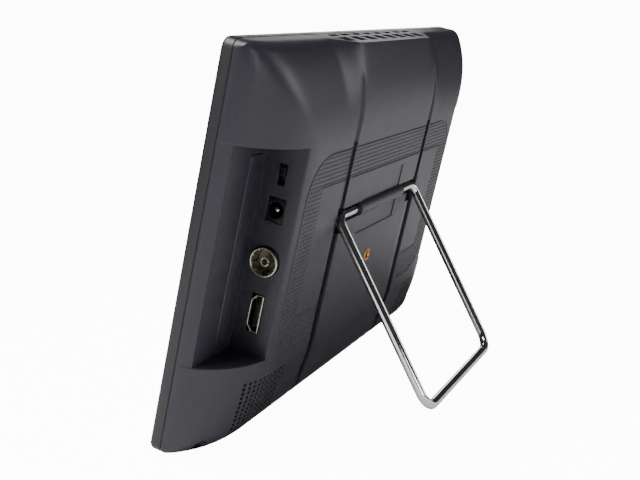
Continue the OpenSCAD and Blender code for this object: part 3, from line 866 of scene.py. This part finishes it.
def cut_channel_ends(bm):
    """Each channel runs out over the crown in a narrow point."""
    middle = (CHANNEL_LOW_U + CHANNEL_HIGH_U) / 2
    start = UPPER_FLAT_V - 4
    for side in (-1, 1):
        path = []
        for v in spread(start, UPPER_END_V + 2, 26):
            depth = (DEPTH - UPPER_FLOOR) * (1 - ((v - start) / (UPPER_END_V - start)) ** 3)
            path.append((side * middle, form_w(middle, v) + UPPER_CUT_R - depth, v))
        add_tube(bm, path, UPPER_CUT_R, 28)


def cut_outer_border(bm):
    add_tube(bm, ring_outline_path(), BORDER_R, 8)


def cut_inner_border(bm):
    """The ring's inner border: a line above, and below it only beyond the channels."""
    beyond = (CHANNEL_HIGH_U, RING_IN_U)
    between = (-CHANNEL_LOW_U + 0.5, CHANNEL_LOW_U - 0.5)
    lines = ((-1, RING_IN_HIGH, beyond), (-1, RING_IN_LOW, beyond), (1, RING_IN_HIGH, between),
             (1, RING_IN_HIGH, beyond), (1, RING_IN_LOW, beyond))
    for side, v, (start, end) in lines:
        path = [(side * u, DEPTH + BORDER_LIFT, v) for u in spread(start, end, 8)]
        add_tube(bm, path, BORDER_R, 8)


CUTTERS = (cut_corners, cut_bays, cut_windows, cut_round_holes, cut_vents, cut_channel_ends,
           cut_outer_border, cut_inner_border)


def make_rear_cover():
    bm = bmesh.new()
    add_form(bm, grid_us(), grid_vs(), back_w, BEZEL_W, CASE_CHAMFER)
    cover = scratch(bm)
    walls = scratch_copy(cover)
    combine(walls, inside_walls(), "INTERSECT")
    combine(cover, inner_form(), "DIFFERENCE")
    combine(cover, walls, "UNION")
    for cutter in CUTTERS:
        tool = bmesh.new()
        cutter(tool)
        cut(cover, tool)
    shown("back_shell", taken(cover), "case_plastic", "case", ["rear_cover"])


def scratch_copy(obj):
    copy = bpy.data.objects.new("work", obj.data.copy())
    bpy.context.scene.collection.objects.link(copy)
    return copy


# ======================================================================
# Front bezel, strip, stand
# ======================================================================
def make_front_bezel():
    """The frame round the screen, drawn as loops of (w, inset) outside and then in the window."""
    bm = bmesh.new()
    rings = []
    for w, inset in [(0.0, 1.5), (0.0, 1.1), (CASE_CHAMFER, CASE_CHAMFER), (FRONT_LIP, 0.0),
                     (BEZEL_W - CASE_CHAMFER, 0.0), (BEZEL_W, CASE_CHAMFER)]:
        outline = rounded_rect(HALF_U - inset, inset, HEIGHT - inset, OUTLINE_R - inset * 0.5)
        rings.append([bm.verts.new((u, w, v)) for u, v in outline])
    for w, grow in [(BEZEL_W, 0.0), (FRONT_LIP, 0.0), (0.0, 0.9), (0.0, 1.3)]:
        outline = rounded_rect(SCREEN_HALF + grow, SCREEN_LOW - grow, SCREEN_HIGH + grow,
                               SCREEN_CORNER_R + grow)
        rings.append([bm.verts.new((u, w, v)) for u, v in outline])
    for first, second in zip(rings, rings[1:] + rings[:1]):
        bridge(bm, first, second)
    front = scratch(bm)
    holes = bmesh.new()
    for u, radius in LENS_HOLES:
        add_lathe(holes, along_w(u, LENS_V), rod(radius, -1, BEZEL_W + 1), 40)
    cut(front, holes)
    shown("front_frame", taken(front), "bezel_plastic", "case", ["front_bezel"], crease=24)


def make_bay_strips():
    """Raised strip along the floor of each bay."""
    for side, name in ((-1, "left"), (1, "right")):
        bm = bmesh.new()
        low_u, high_u = span_on(side, *STRIP_U)
        add_block(bm, (low_u, BAY_FLOOR - 0.4, STRIP_V[0]), (high_u, BAY_FLOOR + 0.5, STRIP_V[1]),
                  0.35, 3)
        shown("bay_strip_" + name, bm, "case_plastic", "case")


def bend_points(corner, start, end, radius, steps=12):
    """Points of a round bend at a corner between two directions."""
    first = (Vector(start) - Vector(corner)).normalized()
    second = (Vector(end) - Vector(corner)).normalized()
    half = first.angle(second) / 2
    reach = radius / math.tan(half)
    middle = Vector(corner) + (first + second).normalized() * (radius / math.sin(half))
    a = Vector(corner) + first * reach - middle
    b = Vector(corner) + second * reach - middle
    sweep = a.angle(b)
    return [middle + (a * math.sin(sweep * (1 - i / steps)) + b * math.sin(sweep * i / steps))
            / math.sin(sweep) for i in range(steps + 1)]


def make_wire_stand():
    foot_w = PIVOT_W + LEG_LENGTH * math.sin(LEG_OPEN)
    foot_v = PIVOT_V - LEG_LENGTH * math.cos(LEG_OPEN)
    corners = [Vector((STUB_END, PIVOT_W, PIVOT_V)), Vector((LEG_U, PIVOT_W, PIVOT_V)),
               Vector((LEG_U, foot_w, foot_v)), Vector((-LEG_U, foot_w, foot_v)),
               Vector((-LEG_U, PIVOT_W, PIVOT_V)), Vector((-STUB_END, PIVOT_W, PIVOT_V))]
    path = [corners[0]]
    for i, radius in ((1, PIVOT_BEND), (2, FOOT_BEND), (3, FOOT_BEND), (4, PIVOT_BEND)):
        path += bend_points(corners[i], corners[i - 1], corners[i + 1], radius)
    path.append(corners[5])
    bm = bmesh.new()
    add_tube(bm, path, WIRE_R, 36)
    shown("stand_wire", bm, "chrome_wire", "stand", ["wire_stand"], crease=50)


# ======================================================================
# Connectors
# ======================================================================
def make_aerial():
    place = along_u(PORT_W, AERIAL_V)
    front = BAY_U + 1.8
    bm = bmesh.new()
    shell = [(AERIAL_BORE_R, AERIAL_BACK), (AERIAL_BORE_R, front - 0.5), (4.95, front),
             (5.35, front), (AERIAL_R, front - 0.3), (AERIAL_R, AERIAL_BACK)]
    add_lathe(bm, place, eased(shell, 0.15, True), 64, closed=True)
    shown("aerial_ring", bm, "nickel", "case", ["aerial_shell"], crease=40)
    bm = bmesh.new()
    add_lathe(bm, place, rod(4.7, BAY_U - 4.6, AERIAL_BACK), 48)
    shown("aerial_core", bm, "insulator_cream", "case", ["aerial_insulator"])
    bm = bmesh.new()
    tube = [(1.15, BAY_U - 5.0), (1.15, BAY_U + 0.6), (1.75, BAY_U + 0.6), (1.75, BAY_U - 5.0)]
    add_lathe(bm, place, eased(tube, 0.15, True), 40, closed=True)
    contact = scratch(bm)
    slits = bmesh.new()
    add_block(slits, (BAY_U - 5, PORT_W - 3, AERIAL_SLIT_V[0]),
              (BAY_U + 2, PORT_W + 3, AERIAL_SLIT_V[1]))
    cut(contact, slits)
    shown("aerial_contact_tube", taken(contact), "nickel", "case", ["aerial_contact"], crease=40)
    bm = bmesh.new()
    for i in range(AERIAL_SPRINGS):
        angle = 2 * math.pi * (i + 0.5) / AERIAL_SPRINGS
        out_w, out_v = math.cos(angle), math.sin(angle)
        w, v = PORT_W + AERIAL_SPRING_R * out_w, AERIAL_V + AERIAL_SPRING_R * out_v
        add_tube(bm, [(BAY_U - 4.7, w, v), (BAY_U + 0.6, w, v),
                      (BAY_U + 1.0, w + 0.25 * out_w, v + 0.25 * out_v)], 0.28, 8)
    shown("aerial_springs", bm, "nickel", "case")


def hdmi_outline(grow):
    """Outline (w, v) of the socket's mouth, with cut corners towards the screen."""
    low_w, high_w = HDMI_W[0] - grow, HDMI_W[1] + grow
    low_v, high_v = HDMI_V[0] - grow, HDMI_V[1] + grow
    along_cut = HDMI_CUT * 1.2
    return [(high_w, low_v), (high_w, high_v), (low_w + HDMI_CUT, high_v),
            (low_w, high_v - along_cut), (low_w, low_v + along_cut), (low_w + HDMI_CUT, low_v)]


def make_hdmi():
    bm = bmesh.new()
    rings = []
    for grow, along in ((-0.05, BAY_U - 10), (-0.05, BAY_U + 0.3), (-0.15, BAY_U + 0.45),
                        (-0.4, BAY_U + 0.45), (-0.5, BAY_U + 0.25), (-0.5, BAY_U - 9.6)):
        rings.append([bm.verts.new((along, w, v)) for w, v in hdmi_outline(grow)])
    for first, second in zip(rings, rings[1:]):
        bridge(bm, first, second)
    bm.faces.new(rings[0])
    bm.faces.new(rings[-1])
    shown("hdmi_mouth", bm, "nickel", "case", ["hdmi_shell"], crease=25)
    bm = bmesh.new()
    add_block(bm, (BAY_U - 9.5, 17.2, 46.4), (BAY_U - 0.9, 18.9, 57.7), 0.15)
    shown("hdmi_blade", bm, "socket_black", "case", ["hdmi_tongue"])
    bm = bmesh.new()
    for i in range(HDMI_CONTACTS):
        v = HDMI_CONTACT_V + i * HDMI_CONTACT_PITCH
        for low_w, high_w in ((18.8, 19.05), (17.05, 17.3)):
            add_block(bm, (BAY_U - 9, low_w, v), (BAY_U - 1.3, high_w, v + 0.5), 0.05, 1)
    shown("hdmi_contacts", bm, "nickel", "case")


def make_power_jack():
    bm = bmesh.new()
    add_block(bm, (BAY_U - 12, 14.5, 87.0), (BAY_U - 0.1, 21.1, 96.0), 0.25)
    body = scratch(bm)
    place = along_u(PORT_W, JACK_V)
    bm = bmesh.new()
    add_lathe(bm, place, [(0, BAY_U - 9.5), (JACK_BORE_R, BAY_U - 9.5), (JACK_BORE_R, BAY_U - 0.5),
                          (3.2, BAY_U + 1), (0, BAY_U + 1)], 48)
    cut(body, bm)
    shown("power_jack", taken(body), "socket_black", "case", ["dc_jack_body"])
    bm = bmesh.new()
    pin = [(0, BAY_U - 9.6), (1.0, BAY_U - 9.6), (1.0, BAY_U - 1.2), (0, BAY_U - 0.9)]
    add_lathe(bm, place, eased(pin, 0.4), 32)
    shown("power_pin", bm, "screw_steel", "case", ["dc_jack_pin"], crease=60)


def make_power_switch():
    bm = bmesh.new()
    add_block(bm, (BAY_U - 7, 15.6, 99.6), (BAY_U - 2.2, 19.8, 109.4), 0.2)
    shown("switch_base", bm, "socket_black", "case", ["power_switch_body"])
    bm = bmesh.new()
    add_block(bm, (BAY_U - 2.1, 16.5, 104.2), (BAY_U + 0.8, 18.9, 108.0), 0.25)
    for i in range(KNOB_RIBS):
        v = KNOB_RIB_V + i
        add_block(bm, (BAY_U + 0.6, 16.7, v), (BAY_U + 1.3, 18.7, v + 0.55), 0.15)
    shown("switch_knob", bm, "socket_black", "power_switch", ["power_switch_knob"])


def make_headphone_barrel():
    bm = bmesh.new()
    front, back = -BAY_U - 0.3, -BAY_U + 12
    barrel = [(HEADPHONE_BORE_R, back), (HEADPHONE_BORE_R, front), (HEADPHONE_R, front),
              (HEADPHONE_R, back)]
    add_lathe(bm, along_u(PORT_W, HEADPHONE_V), eased(barrel, 0.2, True), 48, closed=True)
    shown("headphone_barrel", bm, "socket_black", "case", ["headphone_jack"])


def make_keys():
    for number, v in enumerate(key_places(), 1):
        bm = bmesh.new()
        add_block(bm, (-BAY_U - 1.0, PORT_W - 2.5, v - 2.0),
                  (-BAY_U + 2.2, PORT_W + 2.5, v + 2.0), 0.45, 3)
        shown("key_top_%d" % number, bm, "key_plastic", "key_%d_cap" % number,
              ["key_%d" % number])


def make_insert():
    bm = bmesh.new()
    ring = [(1.65, 20.2), (1.65, DEPTH - 0.4), (1.95, DEPTH + 0.1), (2.7, DEPTH + 0.1),
            (2.88, DEPTH - 0.1), (2.88, 20.2)]
    add_lathe(bm, along_w(0, INSERT_V), eased(ring, 0.12, True), 48, closed=True)
    shown("insert_ring", bm, "brass", "case", ["threaded_insert"], crease=40)


# ======================================================================
# Stage
# ======================================================================
FLOOR_SEEN = 12.0
FLOOR_LIGHT = 0.05
SKY_SEEN = 12.0
SKY_LIGHT = 0.03
FLOOR_HALF = 6
LIT_POINT = (0, 0, 0.08)
# Name, place, width, height and power
SOFTBOXES = (
    ("key_softbox", (0.8, -0.5, 0.4), 0.5, 0.6, 1),
    ("fill_softbox", (0.5, 1.1, 0.15), 0.6, 0.2, 2),
    ("rim_softbox", (-0.74, 0.8, 0.25), 0.4, 0.4, 1.6),
    ("edge_softbox", (-1.0, -0.4, 0.33), 0.3, 0.25, 0.8),
    ("top_softbox", (0.4, -0.2, 1.0), 0.7, 0.7, 18),
)
# Solved from the photograph's edges, with the case height as the unit
CAMERA_PLACE = (0.41279, 0.16538, 0.14490)
CAMERA_YAW, CAMERA_PITCH, CAMERA_ROLL = 65.63, 10.82, -3.19
CAMERA_LENS = 59.39


def seen_or_lit(nodes, links, seen, lit):
    """One strength for the backdrop as it is seen, another for the light it gives."""
    path = nodes.new("ShaderNodeLightPath")
    strength = nodes.new("ShaderNodeMapRange")
    strength.inputs["To Min"].default_value = lit
    strength.inputs["To Max"].default_value = seen
    links.new(path.outputs["Is Camera Ray"], strength.inputs["Value"])
    return strength.outputs["Result"]


def make_floor():
    material, nodes, links, shader = new_material("floor_white")
    coords = nodes.new("ShaderNodeTexCoord")
    patches = noise(nodes, links, coords, 3.0)
    tone = mixed_colour(nodes, links, patches, (0.88, 0.88, 0.88), (0.92, 0.92, 0.92))
    links.new(tone.outputs["Result"], shader.inputs["Base Color"])
    shader.inputs["Roughness"].default_value = 0.9
    shader.inputs["Emission Color"].default_value = (1, 1, 1, 1)
    glow = seen_or_lit(nodes, links, FLOOR_SEEN, FLOOR_LIGHT)
    links.new(glow, shader.inputs["Emission Strength"])
    bm = bmesh.new()
    bmesh.ops.create_grid(bm, x_segments=8, y_segments=8, size=FLOOR_HALF)
    mesh = bpy.data.meshes.new("floor")
    bm.to_mesh(mesh)
    bm.free()
    mesh.materials.append(material)
    floor = bpy.data.objects.new("floor", mesh)
    bpy.context.scene.collection.objects.link(floor)


def make_sky():
    world = bpy.data.worlds.new("studio")
    world.use_nodes = True
    nodes, links = world.node_tree.nodes, world.node_tree.links
    sky = nodes["Background"]
    sky.inputs["Color"].default_value = (1, 1, 1, 1)
    links.new(seen_or_lit(nodes, links, SKY_SEEN, SKY_LIGHT), sky.inputs["Strength"])
    bpy.context.scene.world = world


def softbox(name, place, width, height, power):
    light = bpy.data.lights.new(name, "AREA")
    light.shape = "RECTANGLE"
    light.size, light.size_y = width, height
    light.energy = power
    obj = bpy.data.objects.new(name, light)
    obj.location = place
    obj.rotation_mode = "QUATERNION"
    obj.rotation_quaternion = (Vector(LIT_POINT) - Vector(place)).to_track_quat("-Z", "Y")
    bpy.context.scene.collection.objects.link(obj)


def make_camera():
    yaw, pitch, roll = (math.radians(a) for a in (CAMERA_YAW, CAMERA_PITCH, CAMERA_ROLL))
    ahead = Vector((-math.sin(yaw) * math.cos(pitch), -math.cos(yaw) * math.cos(pitch),
                    -math.sin(pitch)))
    across = ahead.cross(Vector((0, 0, 1))).normalized()
    above = across.cross(ahead)
    right = across * math.cos(roll) + above * math.sin(roll)
    up = above * math.cos(roll) - across * math.sin(roll)
    data = bpy.data.cameras.new("camera")
    data.lens = CAMERA_LENS
    data.sensor_width = 36
    data.clip_start, data.clip_end = 0.01, 50
    camera = bpy.data.objects.new("camera", data)
    rotation = Matrix((right, up, -ahead)).transposed()
    camera.matrix_world = Matrix.Translation(Vector(CAMERA_PLACE)) @ rotation.to_4x4()
    bpy.context.scene.collection.objects.link(camera)
    bpy.context.scene.camera = camera


paint_cad()
make_rear_cover()
make_front_bezel()
make_bay_strips()
make_wire_stand()
make_aerial()
make_hdmi()
make_power_jack()
make_power_switch()
make_headphone_barrel()
make_keys()
make_insert()
make_floor()
make_sky()
for box in SOFTBOXES:
    softbox(*box)
make_camera()
